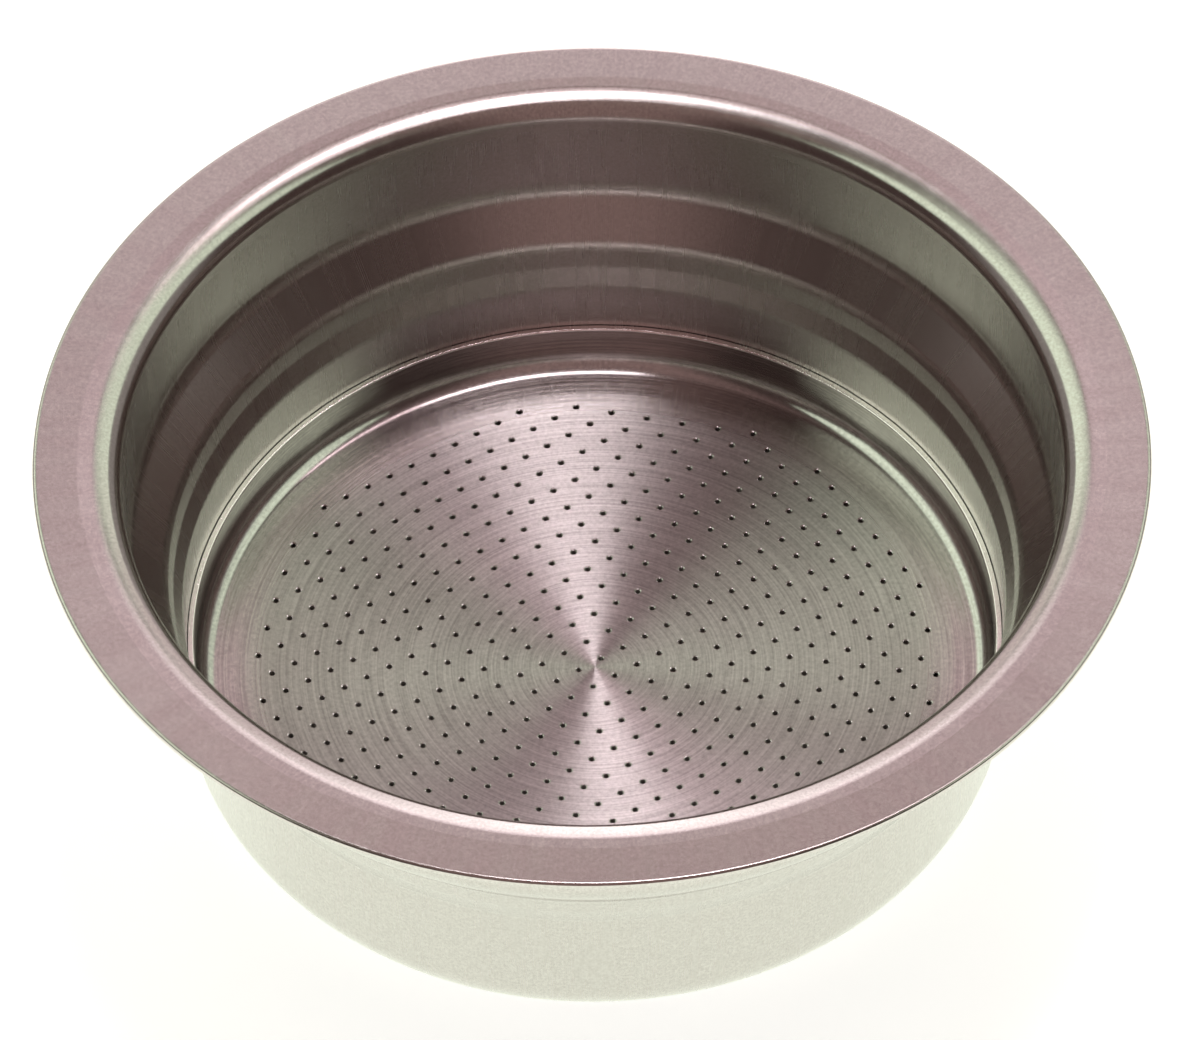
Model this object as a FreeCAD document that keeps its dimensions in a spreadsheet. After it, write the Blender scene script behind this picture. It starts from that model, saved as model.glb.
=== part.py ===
"""Pressurised espresso filter basket: a drawn steel cup with a perforated strainer pressed into it.

Millimetres, +Z up. The origin is the middle of the cup's flat base, on its outer face.
Both pieces are turned from one sheet section about the Z axis.
"""
import FreeCAD, Part
import math
import os
import Sketcher

os.makedirs("parts", exist_ok=True)
doc = FreeCAD.newDocument("filter_basket")

# Driving dimensions, each with its alias in the sheet
DIMENSIONS = {
    # sheet gauges
    "cup_gauge": 0.5,
    "insert_gauge": 0.4,
    # flange and rolled lip of the cup
    "overall_height": 24.7,
    "flange_radius": 35.0,
    "flange_flat_radius": 32.2,
    "flange_edge_round": 0.2,
    "flange_crease_round": 3.0,
    "lip_start_radius": 31.05,
    "lip_start_drop": 0.08,
    "lip_start_round": 3.2,
    "lip_drop": 0.644,
    "lip_round": 1.35,
    # inner face of the cup, going down
    "mouth_radius": 29.5,
    "ledge_height": 15.65,
    "ledge_round": 1.2,
    "ledge_drop": 0.25,
    "waist_top_radius": 27.15,
    "waist_top_round": 1.4,
    "waist_radius": 26.85,
    "waist_height": 12.3,
    "waist_round": 1.5,
    "lower_radius": 26.3,
    "lower_height": 10.7,
    "lower_round": 1.5,
    "base_radius": 26.1,
    "base_round": 2.9,
    "outlet_diameter": 1.0,
    # strainer insert
    "seat_clearance": 0.05,
    "insert_rim_height": 7.2,
    "insert_floor_height": 3.0,
    "insert_dish_radius": 318.0,
    "insert_corner_round": 1.2,
    # pin holes in the strainer's floor, on a square lattice
    "hole_width": 0.34,
    "hole_pitch": 1.7,
    "hole_turn": 32.3,
    "hole_field_radius": 22.25,
    "lattice_shift_across": 0.35,
    "lattice_shift_along": 0.7,
}

sheet = doc.addObject("Spreadsheet::Sheet", "sizes")
for row, (alias, value) in enumerate(DIMENSIONS.items(), start=1):
    sheet.set(f"A{row}", alias.replace("_", " "))
    sheet.set(f"B{row}", str(value))
    sheet.setAlias(f"B{row}", alias)
doc.recompute()


def size(alias):
    """The value of one cell of the sheet."""
    return float(getattr(sheet, alias))


def point(across, up):
    """A point of a section sketch: distance from the axis, then height."""
    return FreeCAD.Vector(across, up, 0)


def section_sketch(body, name):
    """A sketch on the body's own XZ plane, with X across and Z up."""
    sketch = body.newObject("Sketcher::SketchObject", name)
    plane = [item for item in body.Origin.OriginFeatures if item.Role == "XZ_Plane"][0]
    sketch.AttachmentSupport = [(plane, "")]
    sketch.MapMode = "FlatFace"
    return sketch


START, END, CENTRE = 1, 2, 3
X_AXIS, Z_AXIS = -1, -2


class Arc:
    """An arc of a section, kept with the ends that a walk along the section meets first and last."""

    def __init__(self, centre, radius, first, last):
        self.centre = centre
        self.radius = radius
        self.first = first
        self.last = last
        turn = (first - centre).cross(last - centre).z
        self.first_end, self.last_end = (START, END) if turn > 0 else (END, START)

    def add_to(self, sketch):
        """Adds the arc, which a sketch always holds anticlockwise."""
        begin, finish = (self.first, self.last) if self.first_end == START else (self.last, self.first)
        from_angle = math.atan2(begin.y - self.centre.y, begin.x - self.centre.x)
        to_angle = math.atan2(finish.y - self.centre.y, finish.x - self.centre.x)
        circle = Part.Circle(self.centre, FreeCAD.Vector(0, 0, 1), self.radius)
        return sketch.addGeometry(Part.ArcOfCircle(circle, from_angle, to_angle), False)

    def offset(self, gauge):
        """The same arc on the sheet's other face, to the left of the walk."""
        grown = self.radius - gauge if self.first_end == START else self.radius + gauge
        scale = grown / self.radius
        first = self.centre + (self.first - self.centre) * scale
        last = self.centre + (self.last - self.centre) * scale
        return Arc(self.centre, grown, first, last)


def corner_arc(before, corner, after, radius):
    """The arc that rounds one corner of a section made of straight runs."""
    back = (before - corner).normalize()
    ahead = (after - corner).normalize()
    half_angle = back.getAngle(ahead) / 2
    reach = radius / math.tan(half_angle)
    bisector = (back + ahead).normalize()
    centre = corner + bisector * (radius / math.sin(half_angle))
    return Arc(centre, radius, corner + back * reach, corner + ahead * reach)


def add_line(sketch, first, last):
    """Adds a straight run and returns its number in the sketch."""
    return sketch.addGeometry(Part.LineSegment(first, last), False)


def bind(sketch, constraint, expression):
    """Adds a measured constraint and ties it to the sheet."""
    number = sketch.addConstraint(constraint)
    sketch.setExpression(f"Constraints[{number}]", expression)
    return number


def join_tangent(sketch, first, first_end, second, second_end):
    """Joins two pieces of a section end to end with no kink."""
    sketch.addConstraint(Sketcher.Constraint("Tangent", first, first_end, second, second_end))


def turned(body, sketch, name):
    """Turns a section about the vertical axis."""
    solid = body.newObject("PartDesign::Revolution", name)
    solid.Profile = sketch
    solid.ReferenceAxis = (sketch, ["V_Axis"])
    solid.Angle = 360
    sketch.Visibility = False
    doc.recompute()
    return solid


# Corners of the cup's inner face from the flange's edge to the middle of the base:
# distance from the axis, height, and the round at that corner, each as a sheet expression
CUP_CORNERS = [
    ("sizes.flange_radius", "sizes.overall_height", None),
    ("sizes.flange_flat_radius", "sizes.overall_height", "sizes.flange_crease_round"),
    ("sizes.lip_start_radius", "sizes.overall_height - sizes.lip_start_drop", "sizes.lip_start_round"),
    ("sizes.mouth_radius", "sizes.overall_height - sizes.lip_drop", "sizes.lip_round"),
    ("sizes.mouth_radius", "sizes.ledge_height", "sizes.ledge_round"),
    ("sizes.waist_top_radius", "sizes.ledge_height - sizes.ledge_drop", "sizes.waist_top_round"),
    ("sizes.waist_radius", "sizes.waist_height", "sizes.waist_round"),
    ("sizes.lower_radius", "sizes.lower_height", "sizes.lower_round"),
    ("sizes.base_radius", "sizes.cup_gauge", "sizes.base_round"),
    ("0", "sizes.cup_gauge", None),
]


def value_of(expression):
    """Works out a sheet expression, for the first position of a sketch's geometry."""
    return float(sheet.evalExpression(expression.replace("sizes.", "")))


def cup_section(body):
    """The cup's sheet section: inner face, outer face one gauge away, and the two ends."""
    sketch = section_sketch(body, "cup_section")
    corners = [point(value_of(across), value_of(up)) for across, up, _ in CUP_CORNERS]
    arcs = []
    for number in range(1, len(corners) - 1):
        radius = value_of(CUP_CORNERS[number][2])
        arcs.append(corner_arc(corners[number - 1], corners[number], corners[number + 1], radius))
    gauge = size("cup_gauge")
    faces = []
    for shift, run in ((0.0, arcs), (gauge, [arc.offset(gauge) for arc in arcs])):
        starts = [corners[0] - point(0, shift)] + [arc.last for arc in run]
        ends = [arc.first for arc in run] + [corners[-1] - point(0, shift)]
        lines = [add_line(sketch, first, last) for first, last in zip(starts, ends)]
        rounds = [arc.add_to(sketch) for arc in run]
        for number, arc in enumerate(run):
            join_tangent(sketch, lines[number], END, rounds[number], arc.first_end)
            join_tangent(sketch, rounds[number], arc.last_end, lines[number + 1], START)
        faces.append((lines, rounds))
    (inner_lines, inner_rounds), (outer_lines, outer_rounds) = faces
    edge = add_line(sketch, corners[0], corners[0] - point(0, gauge))
    middle = add_line(sketch, corners[-1], corners[-1] - point(0, gauge))
    for end_line, side, side_end in ((edge, 0, START), (middle, -1, END)):
        for lines, end in ((inner_lines, START), (outer_lines, END)):
            joint = Sketcher.Constraint("Coincident", lines[side], side_end, end_line, end)
            sketch.addConstraint(joint)
    # Sharp corners of the inner face as construction points that its straight runs pass through
    marks = [sketch.addGeometry(Part.Point(corner), True) for corner in corners[1:-1]]
    for number, mark in enumerate(marks):
        for line in inner_lines[number:number + 2]:
            sketch.addConstraint(Sketcher.Constraint("PointOnObject", mark, START, line))
    # The outer face shares each round's centre, one gauge larger or smaller
    for number, arc in enumerate(arcs):
        inner, outer = inner_rounds[number], outer_rounds[number]
        sketch.addConstraint(Sketcher.Constraint("Coincident", inner, CENTRE, outer, CENTRE))
        radius = CUP_CORNERS[number + 1][2]
        sign = "-" if arc.first_end == START else "+"
        bind(sketch, Sketcher.Constraint("Radius", inner, arc.radius), radius)
        grown = arc.offset(gauge).radius
        bind(sketch, Sketcher.Constraint("Radius", outer, grown), f"{radius} {sign} sizes.cup_gauge")
    for line in (outer_lines[0], outer_lines[-1], inner_lines[0], inner_lines[-1]):
        sketch.addConstraint(Sketcher.Constraint("Horizontal", line))
    sketch.addConstraint(Sketcher.Constraint("Vertical", edge))
    sketch.addConstraint(Sketcher.Constraint("PointOnObject", middle, START, Z_AXIS))
    sketch.addConstraint(Sketcher.Constraint("PointOnObject", middle, END, Z_AXIS))
    bind(sketch, Sketcher.Constraint("DistanceX", X_AXIS, START, edge, START, corners[0].x),
         CUP_CORNERS[0][0])
    for number, mark in enumerate(marks, start=1):
        across, up, _ = CUP_CORNERS[number]
        place = corners[number]
        bind(sketch, Sketcher.Constraint("DistanceX", X_AXIS, START, mark, START, place.x), across)
        bind(sketch, Sketcher.Constraint("DistanceY", X_AXIS, START, mark, START, place.y), up)
    doc.recompute()
    return sketch


def edges_of_flange_rim(shape):
    """Names of the two circular edges at the flange's outermost radius."""
    names = []
    for number, edge in enumerate(shape.Edges, start=1):
        if isinstance(edge.Curve, Part.Circle) and abs(edge.Curve.Radius - size("flange_radius")) < 0.001:
            names.append(f"Edge{number}")
    return names


def make_cup():
    """The drawn outer cup, with a rounded flange edge and one outlet hole in its base."""
    body = doc.addObject("PartDesign::Body", "basket_cup")
    body.Label = "basket_cup"
    shell = turned(body, cup_section(body), "cup_shell")
    rim = body.newObject("PartDesign::Fillet", "flange_edge")
    rim.Base = (shell, edges_of_flange_rim(shell.Shape))
    rim.setExpression("Radius", "sizes.flange_edge_round")
    doc.recompute()
    outlet = body.newObject("Sketcher::SketchObject", "outlet_sketch")
    plane = [item for item in body.Origin.OriginFeatures if item.Role == "XY_Plane"][0]
    outlet.AttachmentSupport = [(plane, "")]
    outlet.MapMode = "FlatFace"
    width = size("outlet_diameter")
    ring = outlet.addGeometry(Part.Circle(point(0, 0), FreeCAD.Vector(0, 0, 1), width / 2), False)
    outlet.addConstraint(Sketcher.Constraint("Coincident", ring, CENTRE, X_AXIS, START))
    bind(outlet, Sketcher.Constraint("Diameter", ring, width), "sizes.outlet_diameter")
    hole = body.newObject("PartDesign::Pocket", "outlet")
    hole.Profile = outlet
    hole.setExpression("Length", "2 * sizes.cup_gauge")
    hole.Midplane = True
    outlet.Visibility = False
    doc.recompute()
    return body


CUP_WALL_AT = "(sizes.base_radius + (sizes.lower_radius - sizes.base_radius)" \
    " * ({height} - sizes.cup_gauge) / (sizes.lower_height - sizes.cup_gauge))"


def insert_wall_at(height):
    """Sheet expression for the strainer's inner face, which follows the cup's tapered wall."""
    wall = CUP_WALL_AT.format(height=height)
    return f"{wall} - sizes.seat_clearance - sizes.insert_gauge"


def insert_section(body):
    """The strainer's sheet section: tapered wall, rounded corner and dished floor."""
    sketch = section_sketch(body, "insert_section")
    gauge = size("insert_gauge")
    rim_up = size("insert_rim_height")
    floor_up = size("insert_floor_height")
    dish = size("insert_dish_radius")
    radius = size("insert_corner_round")
    rim = point(value_of(insert_wall_at("sizes.insert_rim_height")), rim_up)
    foot = point(value_of(insert_wall_at("sizes.insert_floor_height")), floor_up)
    dish_centre = point(0, floor_up + dish)
    # The corner's centre lies one radius inside the wall and one radius above the dish
    along = (foot - rim).normalize()
    inward = point(along.y, -along.x)
    wall_line = rim + inward * radius
    gap = wall_line - dish_centre
    half = gap.dot(along)
    travel = -half + math.sqrt(half * half - gap.dot(gap) + (dish - radius) ** 2)
    centre = wall_line + along * travel
    dish_touch = dish_centre + (centre - dish_centre).normalize() * dish
    corner = Arc(centre, radius, centre - inward * radius, dish_touch)
    floor = Arc(dish_centre, dish, dish_touch, point(0, floor_up))
    faces = []
    side = point(gauge * -inward.x, gauge * -inward.y)
    rim_outer = rim + side - along * (side.y / along.y)
    for start, arcs in ((rim, (corner, floor)), (rim_outer, (corner.offset(gauge), floor.offset(gauge)))):
        wall = add_line(sketch, start, arcs[0].first)
        rounds = [arc.add_to(sketch) for arc in arcs]
        join_tangent(sketch, wall, END, rounds[0], arcs[0].first_end)
        join_tangent(sketch, rounds[0], arcs[0].last_end, rounds[1], arcs[1].first_end)
        sketch.addConstraint(Sketcher.Constraint("PointOnObject", rounds[1], arcs[1].last_end, Z_AXIS))
        faces.append((wall, rounds, arcs))
    (inner_wall, inner_rounds, inner_arcs), (outer_wall, outer_rounds, outer_arcs) = faces
    top = add_line(sketch, rim, rim_outer)
    middle = add_line(sketch, inner_arcs[1].last, outer_arcs[1].last)
    sketch.addConstraint(Sketcher.Constraint("Coincident", inner_wall, START, top, START))
    sketch.addConstraint(Sketcher.Constraint("Coincident", outer_wall, START, top, END))
    for rounds, arcs, end in ((inner_rounds, inner_arcs, START), (outer_rounds, outer_arcs, END)):
        joint = Sketcher.Constraint("Coincident", rounds[1], arcs[1].last_end, middle, end)
        sketch.addConstraint(joint)
    sketch.addConstraint(Sketcher.Constraint("Horizontal", top))
    sketch.addConstraint(Sketcher.Constraint("PointOnObject", inner_rounds[1], CENTRE, Z_AXIS))
    radii = ("sizes.insert_corner_round", "sizes.insert_dish_radius")
    floors = (inner_rounds[1], CENTRE, outer_rounds[1], CENTRE)
    sketch.addConstraint(Sketcher.Constraint("Coincident", *floors))
    sketch.addConstraint(Sketcher.Constraint("Parallel", inner_wall, outer_wall))
    bind(sketch, Sketcher.Constraint("Distance", inner_wall, START, outer_wall, gauge),
         "sizes.insert_gauge")
    for inner, outer, arc, expression in zip(inner_rounds, outer_rounds, outer_arcs, radii):
        bind(sketch, Sketcher.Constraint("Radius", inner, arc.radius - gauge), expression)
        bind(sketch, Sketcher.Constraint("Radius", outer, arc.radius), f"{expression} + sizes.insert_gauge")
    mark = sketch.addGeometry(Part.Point(foot), True)
    sketch.addConstraint(Sketcher.Constraint("PointOnObject", mark, START, inner_wall))
    for place, geometry, height in ((rim, top, "sizes.insert_rim_height"),
                                    (foot, mark, "sizes.insert_floor_height")):
        bind(sketch, Sketcher.Constraint("DistanceX", X_AXIS, START, geometry, START, place.x),
             insert_wall_at(height))
        bind(sketch, Sketcher.Constraint("DistanceY", X_AXIS, START, geometry, START, place.y), height)
    bind(sketch, Sketcher.Constraint("DistanceY", X_AXIS, START, middle, START, floor_up),
         "sizes.insert_floor_height")
    doc.recompute()
    return sketch


def lattice_places():
    """Places of the pin holes: square lattice points that fall inside the round field."""
    pitch = size("hole_pitch")
    field = size("hole_field_radius")
    turn = math.radians(size("hole_turn"))
    shift = point(size("lattice_shift_across"), size("lattice_shift_along"))
    reach = math.ceil(field / pitch) + 1
    places = []
    for column in range(-reach, reach + 1):
        for row in range(-reach, reach + 1):
            across = column * pitch * math.cos(turn) - row * pitch * math.sin(turn) + shift.x
            along = column * pitch * math.sin(turn) + row * pitch * math.cos(turn) + shift.y
            if math.hypot(across, along) <= field:
                places.append((across, along))
    return places


def make_hole_pins():
    """One slim pin for each hole, as a single compound to cut with."""
    width = size("hole_width")
    turn = FreeCAD.Rotation(FreeCAD.Vector(0, 0, 1), size("hole_turn"))
    low = size("insert_floor_height") - 2 * size("insert_gauge")
    length = size("insert_rim_height") - low
    blank = Part.makeBox(width, width, length, FreeCAD.Vector(-width / 2, -width / 2, 0))
    pins = []
    for across, along in lattice_places():
        pin = blank.copy()
        pin.Placement = FreeCAD.Placement(FreeCAD.Vector(across, along, low), turn)
        pins.append(pin)
    cutter = doc.addObject("Part::Feature", "hole_pins")
    cutter.Shape = Part.makeCompound(pins)
    cutter.Visibility = False
    return cutter


def make_insert():
    """The pressed strainer with its field of pin holes."""
    body = doc.addObject("PartDesign::Body", "insert_blank")
    turned(body, insert_section(body), "insert_shell")
    strainer = doc.addObject("Part::Cut", "strainer_insert")
    strainer.Label = "strainer_insert"
    strainer.Base = body
    strainer.Tool = make_hole_pins()
    doc.recompute()
    return strainer


pieces = [make_cup(), make_insert()]
doc.recompute()

# Nothing is written unless every object of the document came out sound
for item in doc.Objects:
    if "Invalid" in item.State or "Error" in item.State:
        raise RuntimeError(f"{item.Name} failed: {item.State}")
for piece in pieces:
    shape = piece.Shape
    if shape.isNull() or not shape.isValid() or len(shape.Solids) != 1:
        raise RuntimeError(f"{piece.Label} isn't one sound solid")
for piece in pieces:
    piece.Shape.exportStep(f"parts/{piece.Label}.step")
    box = piece.Shape.BoundBox
    print(piece.Label, "volume", round(piece.Shape.Volume, 2), "mm3, faces", len(piece.Shape.Faces),
          "height", round(box.ZMin, 3), "to", round(box.ZMax, 3), "width", round(box.XLength, 3))
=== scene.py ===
"""Looks of the espresso filter basket: a satin drawn cup and a turned strainer with pin holes."""

import logging
import math
from dataclasses import dataclass, field
from enum import Enum
from typing import Callable, Optional, Union

import bmesh
import bpy
from mathutils import Matrix, Vector, noise


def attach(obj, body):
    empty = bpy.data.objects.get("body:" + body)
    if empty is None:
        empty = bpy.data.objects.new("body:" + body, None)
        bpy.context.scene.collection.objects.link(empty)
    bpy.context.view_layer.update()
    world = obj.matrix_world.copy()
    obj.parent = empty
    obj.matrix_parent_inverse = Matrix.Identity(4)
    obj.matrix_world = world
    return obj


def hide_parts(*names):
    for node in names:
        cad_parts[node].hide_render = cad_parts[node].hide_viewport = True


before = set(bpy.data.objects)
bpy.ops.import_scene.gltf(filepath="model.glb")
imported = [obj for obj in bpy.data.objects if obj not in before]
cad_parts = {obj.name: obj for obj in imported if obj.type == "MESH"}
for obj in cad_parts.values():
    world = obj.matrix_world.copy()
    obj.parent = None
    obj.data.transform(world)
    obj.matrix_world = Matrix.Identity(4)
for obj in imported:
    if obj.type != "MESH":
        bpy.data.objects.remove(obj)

log = logging.getLogger("filter_basket")

MM = 0.001
FULL_TURN = 2.0 * math.pi
NOISE_SPAN = (0.35, 0.65)
NEAR = 0.01 * MM
SAME_PLACE = 0.001 * MM
DOUBLE = 0.0005 * MM
UPWARD = 0.9
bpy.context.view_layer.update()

Socket = bpy.types.NodeSocket
Value = Union[float, tuple, Socket]


class Grain(Enum):
    """Which way the fine scratches of a finish run."""

    ALONG_SECTION = 0.0
    CONCENTRIC = 0.25


@dataclass(frozen=True)
class Corner:
    """A sharp corner of a sheet section, in millimetres, and the radius that rounds it."""

    across: float
    up: float
    round: float = 0.0
    segments: int = 8

    def place(self) -> Vector:
        """The corner's place.

        Returns:
            The place in metres, in the XZ plane.
        """
        return Vector((self.across, 0.0, self.up)) * MM


class Bench:
    """Edit-mode steps that several pieces share."""

    @staticmethod
    def clear() -> None:
        """Leaves edit mode and deselects every object."""
        if bpy.context.object and bpy.context.object.mode != "OBJECT":
            bpy.ops.object.mode_set(mode="OBJECT")
        bpy.ops.object.select_all(action="DESELECT")

    @staticmethod
    def pick(piece: bpy.types.Object) -> None:
        """Makes one object the only selected and active one.

        Args:
            piece: the object to work on.
        """
        Bench.clear()
        piece.select_set(True)
        bpy.context.view_layer.objects.active = piece

    @staticmethod
    def select(piece: bpy.types.Object, mode: str, wanted: Callable[[object], bool]) -> int:
        """Selects vertices, edges or faces of the edited mesh by their place.

        Args:
            piece: the object in edit mode.
            mode: VERT, EDGE or FACE.
            wanted: says whether an element is wanted.

        Returns:
            How many elements were selected.
        """
        bpy.ops.mesh.select_mode(type=mode)
        bpy.ops.mesh.select_all(action="DESELECT")
        mesh = bmesh.from_edit_mesh(piece.data)
        elements = {"VERT": mesh.verts, "EDGE": mesh.edges, "FACE": mesh.faces}[mode]
        count = 0
        for element in elements:
            if wanted(element):
                element.select_set(True)
                count += 1
        mesh.select_flush_mode()
        bmesh.update_edit_mesh(piece.data)
        return count

    @staticmethod
    def draw_section(name: str, corners: list[Corner]) -> bpy.types.Object:
        """Draws a sheet section as a string of edges, and rounds its corners.

        Args:
            name: the new object's name.
            corners: the section's sharp corners in order.

        Returns:
            The object, left in edit mode.
        """
        Bench.clear()
        bpy.ops.mesh.primitive_plane_add(size=MM)
        piece = bpy.context.object
        piece.name = name
        bpy.ops.object.mode_set(mode="EDIT")
        bpy.ops.mesh.select_mode(type="VERT")
        bpy.ops.mesh.select_all(action="SELECT")
        bpy.ops.mesh.merge(type="CENTER")
        bpy.ops.transform.translate(value=corners[0].place())
        for before, after in zip(corners, corners[1:]):
            step = after.place() - before.place()
            bpy.ops.mesh.extrude_region_move(TRANSFORM_OT_translate={"value": step})
        for before, corner, after in zip(corners, corners[1:], corners[2:]):
            if corner.round:
                Bench.round_corner(piece, before, corner, after)
        return piece

    @staticmethod
    def round_corner(piece: bpy.types.Object, before: Corner, corner: Corner, after: Corner) -> None:
        """Bevels one corner of a drawn section into an arc.

        Args:
            piece: the section's object in edit mode.
            before: the corner before it.
            corner: the corner to round.
            after: the corner after it.
        """
        back = (before.place() - corner.place()).normalized()
        ahead = (after.place() - corner.place()).normalized()
        reach = corner.round * MM / math.tan(back.angle(ahead) / 2.0)
        place = corner.place()
        Bench.select(piece, "VERT", lambda vertex: (vertex.co - place).length < SAME_PLACE)
        bpy.ops.mesh.bevel(offset=reach, offset_type="OFFSET", segments=corner.segments,
                           affect="VERTICES", profile=0.5, clamp_overlap=False)

    @staticmethod
    def turn(piece: bpy.types.Object, steps: int, gauge: float) -> None:
        """Spins a section about the vertical axis and gives the sheet its gauge, outwards.

        Args:
            piece: the section's object in edit mode.
            steps: how many steps the turn has.
            gauge: the sheet's thickness in metres.
        """
        bpy.ops.mesh.select_mode(type="VERT")
        bpy.ops.mesh.select_all(action="SELECT")
        bpy.ops.mesh.spin(steps=steps, angle=FULL_TURN, center=(0, 0, 0), axis=(0, 0, 1))
        bpy.ops.mesh.select_all(action="SELECT")
        bpy.ops.mesh.remove_doubles(threshold=DOUBLE)
        bpy.ops.mesh.normals_make_consistent(inside=False)
        mesh = bmesh.from_edit_mesh(piece.data)
        lowest = min(mesh.faces, key=lambda face: face.calc_center_median().z)
        if lowest.normal.z < 0.0:
            bpy.ops.mesh.flip_normals()
        bpy.ops.object.mode_set(mode="OBJECT")
        sheet = piece.modifiers.new("gauge", "SOLIDIFY")
        sheet.thickness = gauge
        sheet.offset = -1.0
        sheet.use_even_offset = True
        Bench.pick(piece)
        bpy.ops.object.modifier_apply(modifier=sheet.name)

    @staticmethod
    def smooth(piece: bpy.types.Object, angle: float) -> None:
        """Shades a piece smooth, with creases kept sharp and large faces kept flat.

        Args:
            piece: the object.
            angle: the angle in degrees from which an edge stays sharp.
        """
        Bench.pick(piece)
        bpy.ops.object.shade_smooth_by_angle(angle=math.radians(angle))
        flat = piece.modifiers.new("flat_faces_lead", "WEIGHTED_NORMAL")
        flat.keep_sharp = True
        bpy.ops.object.modifier_apply(modifier=flat.name)


class Graph:
    """Builds the nodes of a material or a world in reading order."""

    def __init__(self, owner: Union[bpy.types.Material, bpy.types.World]) -> None:
        """Empties the owner's node tree.

        Args:
            owner: the material or world that the nodes belong to.
        """
        owner.use_nodes = True
        self.tree = owner.node_tree
        self.tree.nodes.clear()

    def node(self, kind: str, inputs: Optional[dict] = None, **settings: object) -> bpy.types.Node:
        """Adds a node, sets its options and fills its inputs.

        Args:
            kind: the node's type, without the ShaderNode prefix.
            inputs: values or sockets by input name or number.
            **settings: attributes of the node.

        Returns:
            The node.
        """
        made = self.tree.nodes.new("ShaderNode" + kind)
        for attribute, setting in settings.items():
            setattr(made, attribute, setting)
        for name, value in (inputs or {}).items():
            if isinstance(value, bpy.types.NodeSocket):
                self.tree.links.new(value, made.inputs[name])
            else:
                made.inputs[name].default_value = value
        return made

    def math(self, operation: str, first: Value, second: Value = 0.0) -> Socket:
        """One step of arithmetic.

        Args:
            operation: the node's operation.
            first: the first number.
            second: the second number.

        Returns:
            The result's socket.
        """
        return self.node("Math", {0: first, 1: second}, operation=operation).outputs[0]

    def noise(self, vector: Socket, detail: float, roughness: float = 0.5) -> Socket:
        """Noise at a place already scaled to cells.

        Args:
            vector: the place.
            detail: how many octaves.
            roughness: how strong the finer octaves are.

        Returns:
            The noise's value, about 0.5 on average.
        """
        inputs = {"Vector": vector, "Scale": 1.0, "Detail": detail, "Roughness": roughness}
        return self.node("TexNoise", inputs).outputs["Fac"]

    def remap(self, value: Socket, low: float, high: float, to_low: float, to_high: float) -> Socket:
        """Maps one span of numbers onto another, held at its ends.

        Args:
            value: the number.
            low: start of the first span.
            high: end of the first span.
            to_low: start of the second span.
            to_high: end of the second span.

        Returns:
            The mapped number's socket.
        """
        inputs = {"Value": value, "From Min": low, "From Max": high, "To Min": to_low, "To Max": to_high}
        return self.node("MapRange", inputs).outputs["Result"]

    def blend(self, factor: Value, first: Value, second: Value) -> Socket:
        """Mixes two colours.

        Args:
            factor: 0 for the first, 1 for the second.
            first: a colour or its socket.
            second: a colour or its socket.

        Returns:
            The mixed colour's socket.
        """
        made = self.node("Mix", data_type="RGBA")
        for number, value in ((0, factor), (6, first), (7, second)):
            if isinstance(value, bpy.types.NodeSocket):
                self.tree.links.new(value, made.inputs[number])
            elif number:
                made.inputs[number].default_value = (*value, 1.0)
            else:
                made.inputs[number].default_value = value
        return made.outputs[2]

    def total(self, first: Value, first_share: float, second: Value, second_share: float) -> Socket:
        """Adds two numbers, each multiplied by its share.

        Args:
            first: the first number.
            first_share: its share.
            second: the second number.
            second_share: its share.

        Returns:
            The sum's socket.
        """
        return self.math("ADD", self.math("MULTIPLY", first, first_share),
                         self.math("MULTIPLY", second, second_share))

    def spread(self, value: Socket, to_low: float, to_high: float) -> Socket:
        """Maps the span that noise mostly keeps to onto another one.

        Args:
            value: a noise's value, or a mean of several.
            to_low: start of the other span.
            to_high: end of the other span.

        Returns:
            The mapped number's socket.
        """
        return self.remap(value, *NOISE_SPAN, to_low, to_high)

    def steel(self, colour: Socket, rough: Socket, depth: Socket, anisotropic: float, grain: Grain) -> None:
        """Adds the relief, the metal shader with its grain, and the material's output.

        Args:
            colour: the metal's colour.
            rough: its roughness.
            depth: its relief in metres.
            anisotropic: how much the grain stretches reflections.
            grain: which way the grain runs.
        """
        bump = self.node("Bump", {"Strength": 1.0, "Distance": 1.0, "Height": depth})
        tangent = self.node("Tangent", direction_type="RADIAL", axis="Z").outputs[0]
        shader = self.node("BsdfPrincipled", {
            "Base Color": colour, "Roughness": rough, "Normal": bump.outputs[0], "Tangent": tangent,
            "Metallic": 1.0, "Anisotropic": anisotropic, "Anisotropic Rotation": grain.value})
        self.node("OutputMaterial", {"Surface": shader.outputs[0]})


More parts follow.
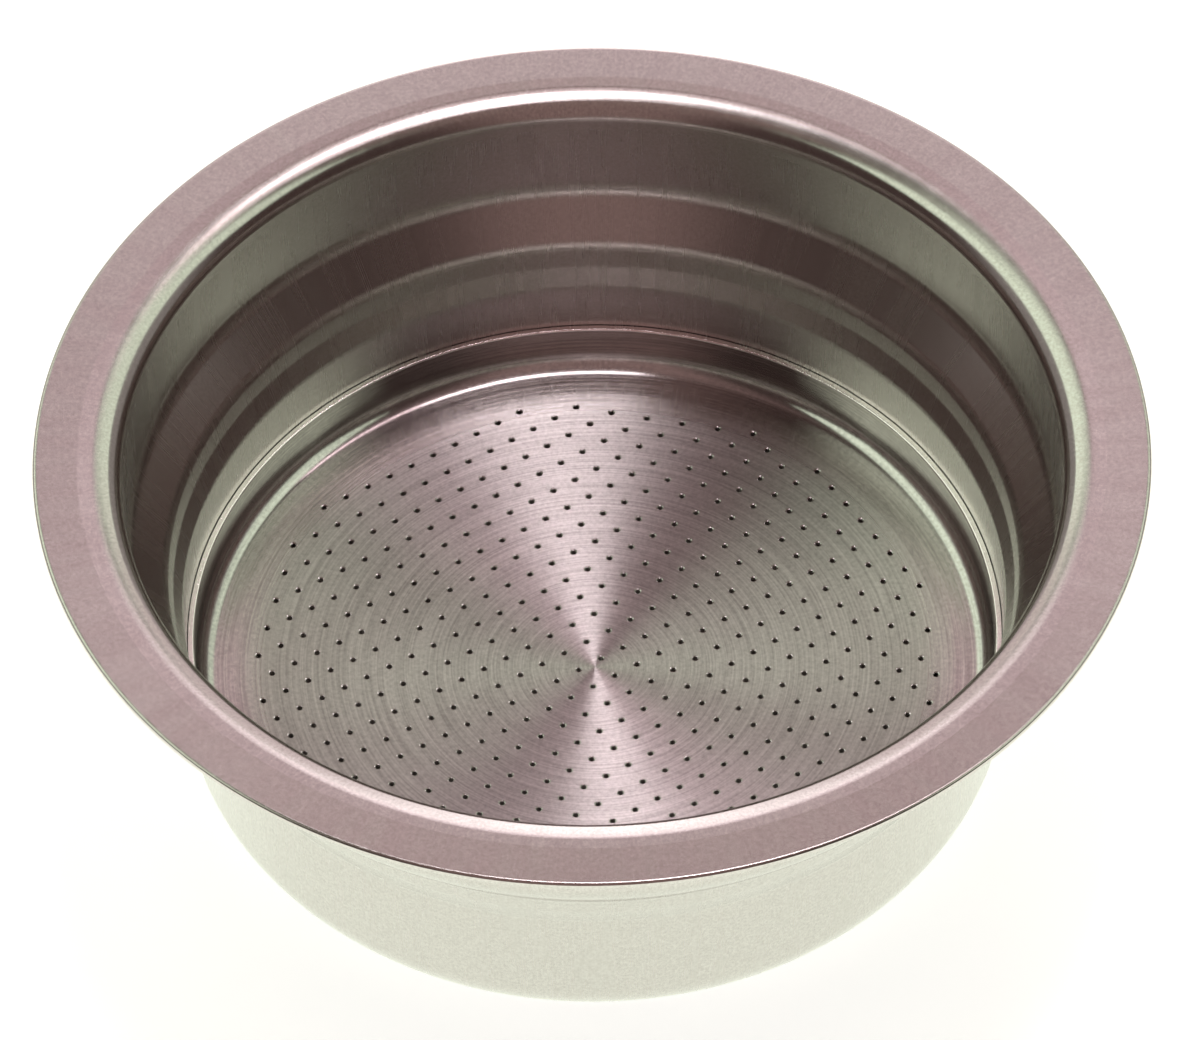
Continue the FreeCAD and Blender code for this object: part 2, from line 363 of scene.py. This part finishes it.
@dataclass(frozen=True)
class PolarPlace:
    """Sockets that follow the turned form: radius, height and direction round the axis."""

    object_place: Socket
    radius: Socket
    height: Socket
    bearing: Socket

    @staticmethod
    def of(graph: Graph) -> "PolarPlace":
        """Reads the place on the object, in millimetres.

        Args:
            graph: the material being built.

        Returns:
            The sockets.
        """
        place = graph.node("TexCoord").outputs["Object"]
        scaled = graph.node("VectorMath", {0: place, "Scale": 1.0 / MM}, operation="SCALE").outputs[0]
        parts = graph.node("SeparateXYZ", {0: scaled})
        flat = graph.node("CombineXYZ", {0: parts.outputs[0], 1: parts.outputs[1], 2: 0.0}).outputs[0]
        radius = graph.node("VectorMath", {0: flat}, operation="LENGTH").outputs["Value"]
        bearing = graph.node("VectorMath", {0: flat}, operation="NORMALIZE").outputs[0]
        return PolarPlace(scaled, radius, parts.outputs[2], bearing)

    def cells(self, graph: Graph, sizes: tuple) -> Socket:
        """A place in cells that follow the turned form.

        Args:
            graph: the material being built.
            sizes: cells per radian round the axis, and cells per millimetre along the section.

        Returns:
            The vector's socket.
        """
        round_cells, along_cells = sizes
        along = graph.math("SUBTRACT", self.radius, self.height)
        ring = graph.node("VectorMath", {0: self.bearing, "Scale": round_cells}, operation="SCALE").outputs[0]
        lift = graph.node("CombineXYZ", {2: graph.math("MULTIPLY", along, along_cells)}).outputs[0]
        return graph.node("VectorMath", {0: ring, 1: lift}, operation="ADD").outputs[0]

    def even_cells(self, graph: Graph, per_mm: float) -> Socket:
        """A place in cells of one size in every direction.

        Args:
            graph: the material being built.
            per_mm: cells per millimetre.

        Returns:
            The vector's socket.
        """
        return graph.node("VectorMath", {0: self.object_place, "Scale": per_mm}, operation="SCALE").outputs[0]


@dataclass(frozen=True)
class SatinSteel:
    """Drawn stainless sheet with a fine satin grain along its section, rougher down the drawn wall."""

    name: str = "satin_steel"
    light: tuple = (0.61, 0.57, 0.555)
    dark: tuple = (0.50, 0.46, 0.445)
    roughness: float = 0.19
    roughness_swing: float = 0.04
    wall_roughness: float = 0.06
    wall_top: float = 23.4
    wall_blend: float = 1.0
    anisotropic: float = 0.60
    streak_cells: tuple = (420.0, 0.6)
    broad_cells: tuple = (24.0, 0.12)
    mottle_cells: float = 5.0
    tone_shares: tuple = (0.25, 0.75)
    rough_shares: tuple = (0.3, 0.7)
    grain_depth: float = 0.0002
    mottle_depth: float = 0.0010

    def make(self) -> bpy.types.Material:
        """Builds the material.

        Returns:
            The material.
        """
        material = bpy.data.materials.new(self.name)
        graph = Graph(material)
        place = PolarPlace.of(graph)
        streaks = graph.noise(place.cells(graph, self.streak_cells), detail=3.0, roughness=0.6)
        broad = graph.noise(place.cells(graph, self.broad_cells), detail=2.0)
        mottle = graph.noise(place.even_cells(graph, self.mottle_cells), detail=3.0, roughness=0.65)
        streak_tone, mottle_tone = self.tone_shares
        tone = graph.total(streaks, streak_tone, mottle, mottle_tone)
        colour = graph.blend(graph.spread(tone, 0.0, 1.0), self.dark, self.light)
        streak_rough, broad_rough = self.rough_shares
        rough = graph.spread(graph.total(streaks, streak_rough, broad, broad_rough),
                             self.roughness, self.roughness + self.roughness_swing)
        drawn = graph.remap(place.height, self.wall_top - self.wall_blend, self.wall_top,
                            self.wall_roughness, 0.0)
        rough = graph.math("ADD", rough, drawn)
        depth = graph.total(streaks, self.grain_depth * MM, mottle, self.mottle_depth * MM)
        graph.steel(colour, rough, depth, self.anisotropic, Grain.ALONG_SECTION)
        return material


@dataclass(frozen=True)
class TurnedSteel:
    """Bright stainless sheet with turning marks on its floor, a smooth corner and a rough sheared rim with a
    painted highlight.
    """

    name: str = "turned_steel"
    light: tuple = (0.64, 0.60, 0.59)
    dark: tuple = (0.38, 0.35, 0.345)
    painted_rim_glint: tuple = (0.98, 0.90, 0.91)
    # painted highlight: a near-white, pinkish base colour on the sheared rim that stands in for its glints
    roughness: float = 0.32
    roughness_swing: float = 0.05
    corner_gloss: float = 0.20
    gloss_start: float = 20.8
    gloss_end: float = 23.4
    anisotropic: float = 0.98
    ring_cells: tuple = (1.2, 7.0)
    band_cells: tuple = (0.8, 0.8)
    teeth_cells: tuple = (150.0, 2.0)
    mottle_cells: float = 4.0
    tone_shares: tuple = (0.6, 0.4)
    rough_shares: tuple = (0.5, 0.5)
    ring_depth: float = 0.0028
    mottle_depth: float = 0.0006
    rim_height: float = 7.05
    rim_blend: float = 0.1
    rim_depth: float = 0.02

    def make(self) -> bpy.types.Material:
        """Builds the material.

        Returns:
            The material.
        """
        material = bpy.data.materials.new(self.name)
        graph = Graph(material)
        place = PolarPlace.of(graph)
        rings = graph.noise(place.cells(graph, self.ring_cells), detail=3.0, roughness=0.6)
        bands = graph.noise(place.cells(graph, self.band_cells), detail=2.0)
        mottle = graph.noise(place.even_cells(graph, self.mottle_cells), detail=3.0, roughness=0.6)
        teeth = graph.noise(place.cells(graph, self.teeth_cells), detail=3.0, roughness=0.7)
        # rim mask above rim_height: it carries both the painted rim highlight and the real shear teeth
        rim = graph.remap(place.height, self.rim_height, self.rim_height + self.rim_blend, 0.0, 1.0)
        ring_tone, mottle_tone = self.tone_shares
        tone = graph.total(rings, ring_tone, mottle, mottle_tone)
        colour = graph.blend(graph.spread(tone, 0.0, 1.0), self.dark, self.light)
        # paints the rim's highlight into its base colour
        colour = graph.blend(rim, colour, self.painted_rim_glint)
        ring_rough, band_rough = self.rough_shares
        rough = graph.spread(graph.total(rings, ring_rough, bands, band_rough),
                             self.roughness, self.roughness + self.roughness_swing)
        gloss = graph.remap(place.radius, self.gloss_start, self.gloss_end, 0.0, self.corner_gloss)
        rough = graph.math("SUBTRACT", rough, gloss)
        floor_depth = graph.total(rings, self.ring_depth * MM, mottle, self.mottle_depth * MM)
        rim_depth = graph.math("MULTIPLY", graph.math("MULTIPLY", teeth, rim), self.rim_depth * MM)
        depth = graph.math("ADD", floor_depth, rim_depth)
        graph.steel(colour, rough, depth, self.anisotropic, Grain.CONCENTRIC)
        return material


@dataclass
class BasketCup:
    """The drawn outer cup, sizes in millimetres."""

    gauge: float = 0.5
    height: float = 24.7
    flange_radius: float = 35.0
    flange_edge_round: float = 0.2
    flange_edge_ring: float = 0.3
    flat_radius: float = 32.2
    flat_round: float = 0.25
    lip_start_radius: float = 31.05
    lip_start_drop: float = 0.08
    lip_start_round: float = 3.2
    mouth_radius: float = 29.5
    lip_drop: float = 0.644
    lip_round: float = 1.35
    shoulder_height: float = 16.95
    shoulder_round: float = 2.2
    waist_top_radius: float = 27.15
    waist_top_height: float = 13.95
    waist_top_round: float = 2.0
    waist_radius: float = 26.85
    waist_height: float = 12.3
    lower_radius: float = 26.3
    lower_height: float = 10.7
    waist_round: float = 1.5
    base_radius: float = 26.1
    base_round: float = 2.9
    outlet_radius: float = 0.5
    steps: int = 224
    crease: float = 35.0
    finish: SatinSteel = field(default_factory=SatinSteel)

    def corners(self) -> list[Corner]:
        """Sharp corners of the inner face.

        Returns:
            The corners, from the flange's edge to the outlet.
        """
        return [
            Corner(self.flange_radius, self.height),
            Corner(self.flange_radius - self.flange_edge_ring, self.height),
            Corner(self.flat_radius, self.height, self.flat_round, segments=3),
            Corner(self.lip_start_radius, self.height - self.lip_start_drop, self.lip_start_round,
                   segments=8),
            Corner(self.mouth_radius, self.height - self.lip_drop, self.lip_round, segments=16),
            Corner(self.mouth_radius, self.shoulder_height, self.shoulder_round, segments=12),
            Corner(self.waist_top_radius, self.waist_top_height, self.waist_top_round, segments=12),
            Corner(self.waist_radius, self.waist_height, self.waist_round, segments=6),
            Corner(self.lower_radius, self.lower_height, self.waist_round, segments=6),
            Corner(self.base_radius, self.gauge, self.base_round, segments=16),
            Corner(self.outlet_radius, self.gauge),
        ]

    def build(self) -> bpy.types.Object:
        """Draws, turns and dresses the cup.

        Returns:
            The finished piece.
        """
        piece = Bench.draw_section("cup_skin", self.corners())
        Bench.turn(piece, self.steps, self.gauge * MM)
        self.round_flange_edge(piece)
        Bench.smooth(piece, self.crease)
        piece.data.materials.clear()
        piece.data.materials.append(self.finish.make())
        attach(piece, "root")
        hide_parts("basket_cup")
        return piece

    def round_flange_edge(self, piece: bpy.types.Object) -> None:
        """Rounds both edges of the flange's rim.

        Args:
            piece: the turned cup.
        """
        Bench.pick(piece)
        bpy.ops.object.mode_set(mode="EDIT")
        outermost = self.flange_radius * MM - NEAR

        def on_rim(edge: bmesh.types.BMEdge) -> bool:
            """Says whether an edge runs round the rim."""
            first, second = (vertex.co for vertex in edge.verts)
            level = abs(first.z - second.z) < NEAR
            return level and first.xy.length > outermost and second.xy.length > outermost

        Bench.select(piece, "EDGE", on_rim)
        bpy.ops.mesh.bevel(offset=self.flange_edge_round * MM, segments=4, affect="EDGES")
        bpy.ops.object.mode_set(mode="OBJECT")


@dataclass
class StrainerInsert:
    """The pressed strainer, sizes in millimetres."""

    gauge: float = 0.4
    rim_radius: float = 25.78
    foot_radius: float = 25.70
    rim_height: float = 7.2
    rim_round: float = 0.14
    floor_height: float = 3.0
    dish_radius: float = 318.0
    corner_round: float = 1.2
    corner_margin: float = 1.2
    dish_rings: int = 22
    steps: int = 224
    hole_radius: float = 0.17
    flare_radius: float = 0.26
    flare_depth: float = 0.035
    pin_length: float = 1.2
    pin_head: float = 0.2
    hole_sides: int = 14
    pitch: float = 1.7
    turn: float = 32.3
    field_radius: float = 22.25
    shift: tuple = (0.35, 0.70)
    rim_band: float = 0.1
    rim_waves: float = 40.0
    rim_wave_height: float = 0.03
    crease: float = 17.0
    finish: TurnedSteel = field(default_factory=TurnedSteel)

    def floor_at(self, radius: float) -> float:
        """Height of the dished floor's top.

        Args:
            radius: the distance from the axis.

        Returns:
            The height in millimetres.
        """
        return self.floor_height + self.dish_radius - math.sqrt(self.dish_radius ** 2 - radius ** 2)

    def corners(self) -> list[Corner]:
        """Corners of the inner face.

        Returns:
            The corners, from the middle of the floor to the rim.
        """
        last_ring = self.foot_radius - self.corner_margin * self.corner_round
        radii = [last_ring * ring / self.dish_rings for ring in range(self.dish_rings + 1)]
        floor = [Corner(radius, self.floor_at(radius)) for radius in radii]
        foot = Corner(self.foot_radius, self.floor_at(self.foot_radius), self.corner_round, segments=12)
        return floor + [foot, Corner(self.rim_radius, self.rim_height)]

    def places(self) -> list[Vector]:
        """Places of the pin holes on the floor.

        Returns:
            The places seen from above, in millimetres.
        """
        reach = math.ceil(self.field_radius / self.pitch) + 1
        spin = Matrix.Rotation(math.radians(self.turn), 2)
        places = []
        for column in range(-reach, reach + 1):
            for row in range(-reach, reach + 1):
                place = spin @ Vector((column, row)) * self.pitch + Vector(self.shift)
                if place.length <= self.field_radius:
                    places.append(place)
        return places

    def pin(self) -> bpy.types.Object:
        """Makes one cutting pin: a slim cylinder with a flared mouth.

        Returns:
            The pin, with its mouth at the origin.
        """
        Bench.clear()
        bpy.ops.mesh.primitive_cylinder_add(vertices=self.hole_sides, radius=self.hole_radius * MM,
                                            depth=self.pin_length * MM, location=(0, 0, 0))
        pin = bpy.context.object
        bpy.ops.object.mode_set(mode="EDIT")
        Bench.select(pin, "FACE", lambda face: face.normal.z > UPWARD)
        drop = self.pin_length / 2.0 + self.flare_depth
        bpy.ops.transform.translate(value=(0, 0, -drop * MM))
        bpy.ops.mesh.extrude_region_move(TRANSFORM_OT_translate={"value": (0, 0, self.flare_depth * MM)})
        widen = self.flare_radius / self.hole_radius
        bpy.ops.transform.resize(value=(widen, widen, 1.0))
        bpy.ops.mesh.extrude_region_move(TRANSFORM_OT_translate={"value": (0, 0, self.pin_head * MM)})
        bpy.ops.object.mode_set(mode="OBJECT")
        return pin

    def pins(self) -> bpy.types.Object:
        """Repeats the cutting pin at every hole.

        Returns:
            All the pins as one object.
        """
        pin = self.pin()
        pattern = bmesh.new()
        places = self.places()
        for place in places:
            before = len(pattern.verts)
            pattern.from_mesh(pin.data)
            pattern.verts.ensure_lookup_table()
            lift = Vector((place.x, place.y, self.floor_at(place.length))) * MM
            for vertex in pattern.verts[before:]:
                vertex.co += lift
        pattern.to_mesh(pin.data)
        pattern.free()
        log.info("strainer holes: %d", len(places))
        return pin

    def drill(self, piece: bpy.types.Object) -> None:
        """Cuts the pin holes.

        Args:
            piece: the turned strainer.
        """
        pins = self.pins()
        Bench.pick(piece)
        cut = piece.modifiers.new("holes", "BOOLEAN")
        cut.operation = "DIFFERENCE"
        cut.solver = "EXACT"
        cut.object = pins
        bpy.ops.object.modifier_apply(modifier=cut.name)
        bpy.data.objects.remove(pins, do_unlink=True)

    def roughen_rim(self, piece: bpy.types.Object) -> None:
        """Leaves the sheared rim slightly uneven.

        Args:
            piece: the turned strainer.
        """
        for vertex in piece.data.vertices:
            if vertex.co.z > (self.rim_height - self.rim_band) * MM:
                waves = vertex.co.xy.normalized() * self.rim_waves
                wave = noise.noise(Vector((waves.x, waves.y, vertex.co.xy.length / MM)))
                vertex.co.z += wave * self.rim_wave_height * MM

    def soften_rim(self, piece: bpy.types.Object) -> None:
        """Rounds the inner edge of the sheared rim, which catches the light.

        Args:
            piece: the turned strainer.
        """
        Bench.pick(piece)
        bpy.ops.object.mode_set(mode="EDIT")
        outermost = (self.rim_radius + self.gauge / 4.0) * MM
        lowest = (self.rim_height - self.rim_band / 2.0) * MM

        def on_inner_edge(edge: bmesh.types.BMEdge) -> bool:
            """Says whether an edge runs round the rim's inner side."""
            return all(vertex.co.z > lowest and vertex.co.xy.length < outermost for vertex in edge.verts)

        Bench.select(piece, "EDGE", on_inner_edge)
        bpy.ops.mesh.bevel(offset=self.rim_round * MM, segments=6, affect="EDGES")
        bpy.ops.object.mode_set(mode="OBJECT")

    def build(self) -> bpy.types.Object:
        """Draws, turns, drills and dresses the strainer.

        Returns:
            The finished piece.
        """
        piece = Bench.draw_section("strainer_skin", self.corners())
        Bench.turn(piece, self.steps, self.gauge * MM)
        self.soften_rim(piece)
        self.roughen_rim(piece)
        self.drill(piece)
        Bench.smooth(piece, self.crease)
        piece.data.materials.clear()
        piece.data.materials.append(self.finish.make())
        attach(piece, "root")
        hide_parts("strainer_insert")
        return piece


@dataclass(frozen=True)
class Softbox:
    """One rectangular lamp panel that faces the basket, sizes in metres."""

    name: str
    bearing: float
    elevation: float
    distance: float
    width: float
    height: float
    radiance: float
    colour: tuple

    def hang(self) -> None:
        """Adds the lamp. Its power follows from its panel's brightness and size."""
        level = self.distance * math.cos(math.radians(self.elevation))
        place = Vector((level * math.sin(math.radians(self.bearing)),
                        level * math.cos(math.radians(self.bearing)),
                        self.distance * math.sin(math.radians(self.elevation))))
        data = bpy.data.lights.new(self.name, "AREA")
        data.shape = "RECTANGLE"
        data.size = self.width
        data.size_y = self.height
        data.energy = self.radiance * math.pi * self.width * self.height
        data.color = self.colour
        lamp = bpy.data.objects.new(self.name, data)
        lamp.location = place
        lamp.rotation_euler = (-place).to_track_quat("-Z", "Y").to_euler()
        bpy.context.collection.objects.link(lamp)


@dataclass
class Studio:
    """Floor, lamps, room and camera. Bearings are in degrees from the back, clockwise from above."""

    floor_size: float = 6.0
    image_width: float = 1200.0
    focal_pixels: float = 7205.3
    sensor: float = 36.0
    elevation: float = 48.975
    roll: float = -0.887
    camera_place: tuple = (0.00045, -0.2994, 0.3616)
    clip_start: float = 0.01
    floor_paint: tuple = (0.80, 0.80, 0.78, 1.0)
    floor_glow: float = 0.72
    mirrored_glow: float = 1.08
    mirrored_tint: tuple = (0.91, 1.0, 0.88)
    skyline: tuple = (0.45, 0.60)
    back_span: tuple = (-0.10, 0.15)
    front_span: tuple = (0.0, 0.2)
    front_width: tuple = (0.25, 0.50)
    back_width: tuple = (0.35, 0.48)
    window_width: tuple = (0.05, 0.16)
    ceiling: tuple = (0.075, 0.050, 0.045)
    front_wall: tuple = (0.30, 0.20, 0.185)
    side_walls: tuple = (0.34, 0.31, 0.29)
    back_wall: tuple = (0.88, 0.74, 0.73)
    window: tuple = (2.4, 2.25, 2.25)
    softboxes: tuple = (
        Softbox("overhead_softbox", 11.0, 76.0, 0.60, 0.115, 0.13, 11.0, (1.0, 0.93, 0.96)),
        Softbox("overhead_spill", 34.0, 68.5, 0.60, 0.10, 0.15, 3.0, (1.0, 0.80, 0.84)),
        Softbox("overhead_glow", 0.0, 64.0, 0.70, 0.20, 0.10, 0.85, (1.0, 0.75, 0.78)),
        Softbox("back_panel", 0.0, 51.5, 0.80, 0.24, 0.15, 0.66, (1.0, 0.75, 0.79)),
        Softbox("low_back_panel", 0.0, 39.0, 0.80, 0.30, 0.16, 1.15, (1.0, 0.83, 0.88)),
        Softbox("left_panel", -66.0, 47.0, 0.80, 1.05, 0.40, 1.35, (0.85, 1.0, 0.79)),
        Softbox("right_panel", 66.0, 47.0, 0.80, 1.05, 0.40, 1.10, (0.85, 1.0, 0.79)),
    )

    def camera(self) -> None:
        """Sets the camera at the photograph's viewing angle."""
        tilt = math.radians(self.elevation)
        roll = math.radians(self.roll)
        level = Vector((1, 0, 0))
        upright = Vector((0, math.sin(tilt), math.cos(tilt)))
        right = level * math.cos(roll) + upright * math.sin(roll)
        up = upright * math.cos(roll) - level * math.sin(roll)
        behind = right.cross(up)
        data = bpy.data.cameras.new("camera")
        data.sensor_width = self.sensor
        data.lens = self.focal_pixels / self.image_width * self.sensor
        data.clip_start = self.clip_start
        camera = bpy.data.objects.new("camera", data)
        axes = Matrix((right, up, behind)).transposed().to_4x4()
        camera.matrix_world = Matrix.Translation(self.camera_place) @ axes
        bpy.context.collection.objects.link(camera)
        bpy.context.scene.camera = camera

    def floor(self) -> None:
        """Lays a pale floor that stays white to the camera and in reflections, with its shadow."""
        Bench.clear()
        bpy.ops.mesh.primitive_plane_add(size=self.floor_size)
        floor = bpy.context.object
        floor.name = "floor"
        material = bpy.data.materials.new("floor_white")
        graph = Graph(material)
        path = graph.node("LightPath")
        mirrored = graph.math("MAXIMUM", path.outputs["Is Glossy Ray"], path.outputs["Is Transmission Ray"])
        paint = graph.node("BsdfDiffuse", {"Color": self.floor_paint})
        tint = graph.blend(mirrored, (1.0, 1.0, 1.0), self.mirrored_tint)
        strength = graph.total(path.outputs["Is Camera Ray"], self.floor_glow, mirrored, self.mirrored_glow)
        glow = graph.node("Emission", {"Color": tint, "Strength": strength})
        both = graph.node("AddShader", {0: paint.outputs[0], 1: glow.outputs[0]})
        graph.node("OutputMaterial", {"Surface": both.outputs[0]})
        floor.data.materials.append(material)

    def room(self) -> None:
        """A dark warm room with a white lower wall behind and beside the basket, white to the camera."""
        world = bpy.data.worlds.new("room")
        bpy.context.scene.world = world
        graph = Graph(world)
        path = graph.node("LightPath")
        way = graph.node("SeparateXYZ", {0: graph.node("TexCoord").outputs["Generated"]})
        aside = graph.math("ABSOLUTE", way.outputs[0])
        low = graph.remap(way.outputs[2], *self.skyline, 1.0, 0.0)
        behind = graph.math("MULTIPLY", low, graph.remap(way.outputs[1], *self.back_span, 0.0, 1.0))
        front = graph.math("MULTIPLY", graph.remap(way.outputs[1], *self.front_span, 1.0, 0.0),
                           graph.remap(aside, *self.front_width, 1.0, 0.0))
        ceiling = graph.blend(front, self.ceiling, self.front_wall)
        sides = graph.blend(behind, ceiling, self.side_walls)
        near = graph.math("MULTIPLY", behind, graph.remap(aside, *self.back_width, 1.0, 0.0))
        walls = graph.blend(near, sides, self.back_wall)
        window = graph.math("MULTIPLY", behind, graph.remap(aside, *self.window_width, 1.0, 0.0))
        walls = graph.blend(window, walls, self.window)
        colour = graph.blend(path.outputs["Is Camera Ray"], walls, (1.0, 1.0, 1.0))
        light = graph.node("Background", {"Color": colour, "Strength": 1.0})
        graph.node("OutputWorld", {"Surface": light.outputs[0]})

    def build(self) -> None:
        """Sets up the whole studio."""
        self.camera()
        self.floor()
        for softbox in self.softboxes:
            softbox.hang()
        self.room()
        bpy.context.scene.view_settings.view_transform = "Standard"


def main() -> None:
    """Builds the studio and both pieces, and reports each piece."""
    logging.basicConfig(level=logging.INFO, format="%(message)s")
    Studio().build()
    for maker in (BasketCup(), StrainerInsert()):
        piece = maker.build()
        piece.data.calc_loop_triangles()
        log.info("%s: %d triangles", piece.name, len(piece.data.loop_triangles))
    Bench.clear()


if __name__ == "__main__":
    main()
